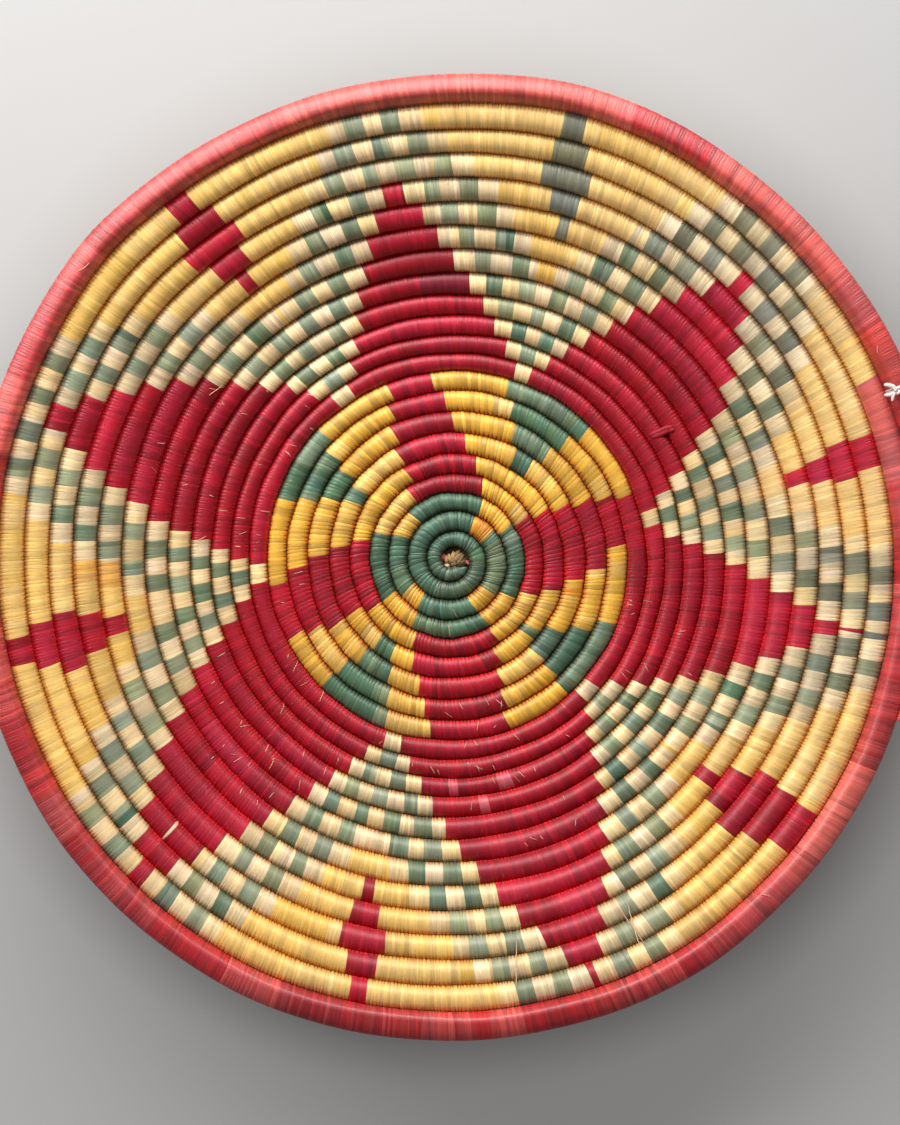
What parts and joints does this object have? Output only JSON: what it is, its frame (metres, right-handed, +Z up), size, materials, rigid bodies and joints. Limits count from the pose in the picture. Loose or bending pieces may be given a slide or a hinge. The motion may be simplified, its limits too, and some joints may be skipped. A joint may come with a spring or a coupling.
{
  "type": "coiled basket",
  "caption": "Shallow round basket tray made of one coil sewn to itself, with a flat base, a thicker rim and a petal and checker pattern.",
  "frame": {"origin": "centre of the bounding box at its lowest face, on the floor under the flat base", "axes": "+Z up, out of the basket's open side; +Y towards the top of the pattern; the coil winds outwards clockwise seen from above"},
  "size_m": [0.3308, 0.3292, 0.05],
  "materials": {
    "straw_strands": "flat plant strands, undyed to yellow, faint satin sheen",
    "crimson_strands": "flat plant strands dyed crimson, faint satin sheen",
    "green_strands": "flat plant strands dyed dark green, faint satin sheen",
    "rim_strands": "flat plant strands dyed red, worn paler on top",
    "foundation_fibre": "dry split plant fibre, matt",
    "start_fibre": "twisted dry fibre tips, matt",
    "white_thread": "spun cotton thread, matt"
  },
  "bodies": {
    "root": {"foundation_bundle": "foundation_fibre", "centre_start_knot": "start_fibre", "row_01_wrapping": "green_strands", "row_02_wrapping": "green_strands", "row_03_wrapping": "green_strands", "row_04_wrapping": "green_strands", "row_05_wrapping": "straw_strands", "row_06_wrapping": "straw_strands", "row_07_wrapping": "straw_strands", "row_08_wrapping": "straw_strands", "row_09_wrapping": "crimson_strands", "row_10_wrapping": "crimson_strands", "row_11_wrapping": "crimson_strands", "row_12_wrapping": "crimson_strands", "row_13_wrapping": "crimson_strands", "row_14_wrapping": "crimson_strands", "row_15_wrapping": "straw_strands", "row_16_wrapping": "straw_strands", "row_17_wrapping": "straw_strands", "row_18_wrapping": "straw_strands", "row_19_wrapping": "straw_strands", "row_20_wrapping": "straw_strands", "row_21_wrapping": "straw_strands", "rim_wrapping": "rim_strands", "rim_tie": "white_thread"}
  },
  "joints": []
}
